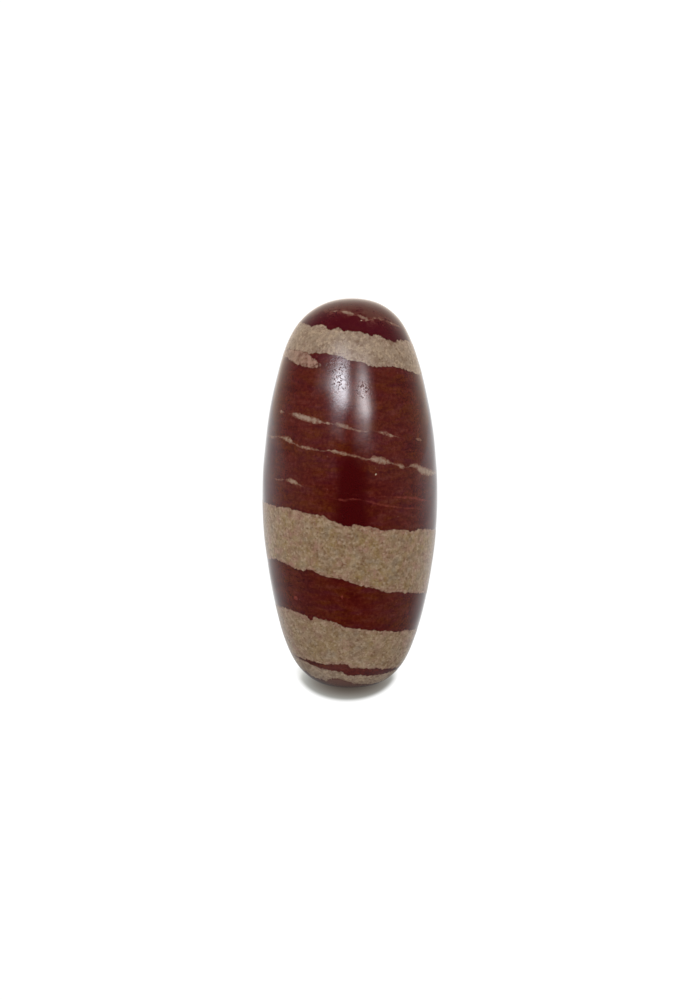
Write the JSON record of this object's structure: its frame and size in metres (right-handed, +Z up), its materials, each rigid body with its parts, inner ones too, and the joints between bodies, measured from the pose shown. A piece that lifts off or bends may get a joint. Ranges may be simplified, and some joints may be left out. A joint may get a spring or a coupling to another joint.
{
  "type": "shiva lingam stone",
  "caption": "Polished egg-shaped banded river stone that stands on a small flat worn into its lower end.",
  "frame": {"origin": "middle of the small flat that the stone stands on", "axes": "+Z up along the stone's long axis, from the flat to the tip; -Y is the side that the picture shows"},
  "size_m": [0.0454, 0.0458, 0.1],
  "materials": {
    "banded_stone": "polished, deep maroon with sandy grey-tan bands"
  },
  "bodies": {
    "root": {"stone": "banded_stone"}
  },
  "joints": []
}
